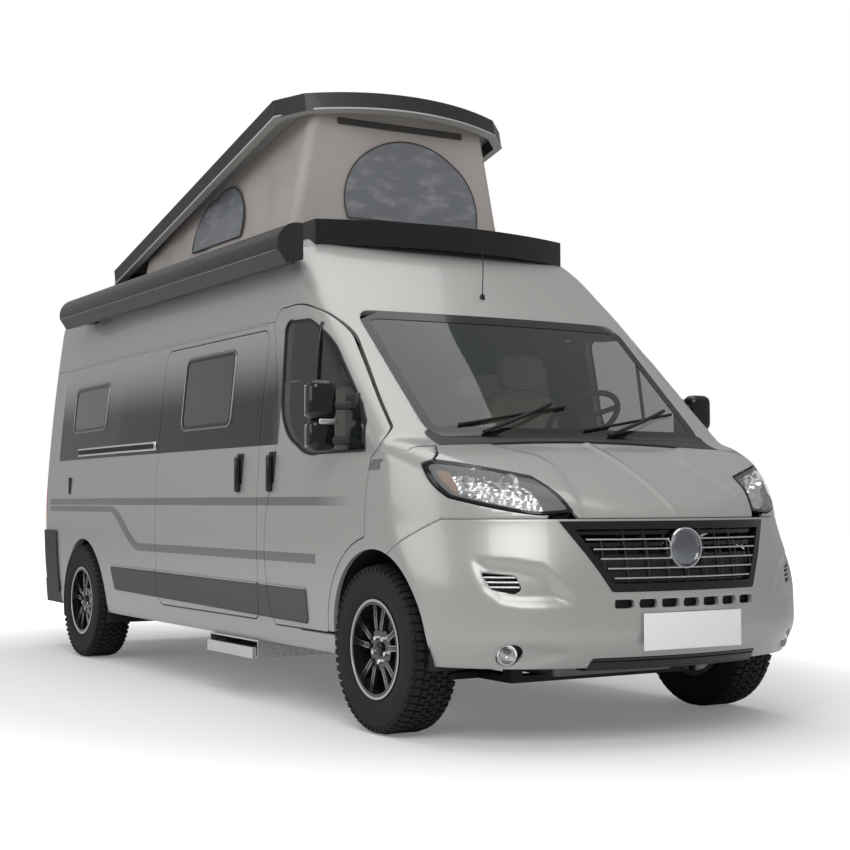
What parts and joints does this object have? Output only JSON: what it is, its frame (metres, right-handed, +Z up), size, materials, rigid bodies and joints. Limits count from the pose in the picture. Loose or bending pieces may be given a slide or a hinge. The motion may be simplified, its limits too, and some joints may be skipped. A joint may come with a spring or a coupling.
{
  "type": "camper van",
  "caption": "Long grey camper van with a raised rear-hinged pop-up roof and canvas, side awning case, sliding side door, step, black alloy wheels and tinted glass.",
  "frame": {"origin": "on the ground, at the middle of the length and width", "axes": "+Z up, the van faces -Y, its right side with the sliding door is at -X"},
  "size_m": [2.37, 5.998, 3.2753],
  "materials": {
    "body_paint": "metallic grey",
    "black_shell": "gloss black",
    "dark_plastic": "matte",
    "tinted_glass": "tinted",
    "lamp_glass": "clear",
    "red_lens": "gloss",
    "tyre_rubber": "matte",
    "black_alloy": "gloss black with polished edges",
    "chassis_steel": "black paint",
    "engine_metal": "rough",
    "bare_aluminium": "brushed",
    "canvas": "woven",
    "seat_fabric": "woven",
    "cabinet_board": "laminate"
  },
  "bodies": {
    "van": {"sliding_door": "body_paint", "side_wall_right": "body_paint", "side_wall_left": "body_paint", "roof": "body_paint", "front_frame": "body_paint", "front_wings": "body_paint", "front_bumper": "body_paint", "grille": "black_shell", "awning_case": "black_shell", "rear_bumper": "dark_plastic", "roof_base": "dark_plastic", "dashboard": "dark_plastic", "underfloor_tanks": "dark_plastic", "side_windows": "tinted_glass", "windscreen": "tinted_glass", "headlamps": "lamp_glass", "tail_lamps": "red_lens", "floor_pan": "chassis_steel", "front_subframe": "chassis_steel", "rear_axle": "chassis_steel", "engine_block": "engine_metal", "step_case": "bare_aluminium", "tent": "canvas", "cab_seats": "seat_fabric", "furniture": "cabinet_board"},
    "cab_door_right_body": {"cab_door_right": "body_paint", "cab_glass_right": "tinted_glass", "mirror_right": "dark_plastic"},
    "cab_door_left_body": {"cab_door_left": "body_paint", "cab_glass_left": "tinted_glass", "mirror_left": "dark_plastic"},
    "rear_door_right_body": {"rear_door_right": "body_paint", "rear_glass_right": "tinted_glass"},
    "rear_door_left_body": {"rear_door_left": "body_paint", "rear_glass_left": "tinted_glass"},
    "bonnet_body": {"bonnet": "body_paint"},
    "pop_roof_body": {"pop_roof": "black_shell"},
    "step_body": {"step_tread": "bare_aluminium"},
    "steering_body": {"steering_wheel": "dark_plastic"},
    "knuckle_right_body": {"knuckle_right": "chassis_steel"},
    "knuckle_left_body": {"knuckle_left": "chassis_steel"},
    "wheel_front_right": {"tyre_front_right": "tyre_rubber", "rim_front_right": "black_alloy"},
    "wheel_front_left": {"tyre_front_left": "tyre_rubber", "rim_front_left": "black_alloy"},
    "wheel_rear_right": {"tyre_rear_right": "tyre_rubber", "rim_rear_right": "black_alloy"},
    "wheel_rear_left": {"tyre_rear_left": "tyre_rubber", "rim_rear_left": "black_alloy"}
  },
  "joints": [
    {"name": "cab_door_right_hinge", "type": "hinge", "parent": "van", "child": "cab_door_right_body", "pos_m": [-1.013, -2.08, 0.8], "axis": [0, 0, 1], "range_deg": [0, 68]},
    {"name": "cab_door_left_hinge", "type": "hinge", "parent": "van", "child": "cab_door_left_body", "pos_m": [1.013, -2.08, 0.8], "axis": [0, 0, -1], "range_deg": [0, 68]},
    {"name": "rear_door_right_hinge", "type": "hinge", "parent": "van", "child": "rear_door_right_body", "pos_m": [-0.917, 3.013, 1.4], "axis": [0, 0, 1], "range_deg": [0, 180]},
    {"name": "rear_door_left_hinge", "type": "hinge", "parent": "van", "child": "rear_door_left_body", "pos_m": [0.917, 3.013, 1.4], "axis": [0, 0, -1], "range_deg": [0, 180]},
    {"name": "bonnet_hinge", "type": "hinge", "parent": "van", "child": "bonnet_body", "pos_m": [0, -2.262, 1.33], "axis": [-1, 0, 0], "range_deg": [0, 50]},
    {"name": "pop_roof_hinge", "type": "hinge", "parent": "van", "child": "pop_roof_body", "pos_m": [0, 2.05, 2.512], "axis": [1, 0, 0], "range_deg": [0, 13.5], "deforming": ["tent"]},
    {"name": "step_slide", "type": "slide", "parent": "van", "child": "step_body", "axis": [-1, 0, 0], "range_m": [0, 0.26]},
    {"name": "steering_wheel_turn", "type": "hinge", "parent": "van", "child": "steering_body", "pos_m": [0.4, -1.701, 1.44], "axis": [0, 0.6428, 0.766], "range_deg": [-540, 540]},
    {"name": "steer_right", "type": "hinge", "parent": "van", "child": "knuckle_right_body", "pos_m": [-0.845, -2.051, 0.372], "axis": [0, 0, 1], "range_deg": [-35, 35]},
    {"name": "steer_left", "type": "hinge", "parent": "van", "child": "knuckle_left_body", "pos_m": [0.845, -2.051, 0.372], "axis": [0, 0, 1], "range_deg": [-35, 35]},
    {"name": "wheel_front_right_spin", "type": "hinge", "parent": "knuckle_right_body", "child": "wheel_front_right", "pos_m": [-0.905, -2.051, 0.372], "axis": [-1, 0, 0], "continuous": true},
    {"name": "wheel_front_left_spin", "type": "hinge", "parent": "knuckle_left_body", "child": "wheel_front_left", "pos_m": [0.905, -2.051, 0.372], "axis": [-1, 0, 0], "continuous": true},
    {"name": "wheel_rear_right_spin", "type": "hinge", "parent": "van", "child": "wheel_rear_right", "pos_m": [-0.895, 1.984, 0.372], "axis": [-1, 0, 0], "continuous": true},
    {"name": "wheel_rear_left_spin", "type": "hinge", "parent": "van", "child": "wheel_rear_left", "pos_m": [0.895, 1.984, 0.372], "axis": [-1, 0, 0], "continuous": true}
  ],
  "couplings": [
    {"joint": "steer_left", "follows": "steer_right", "ratio": 1}
  ]
}
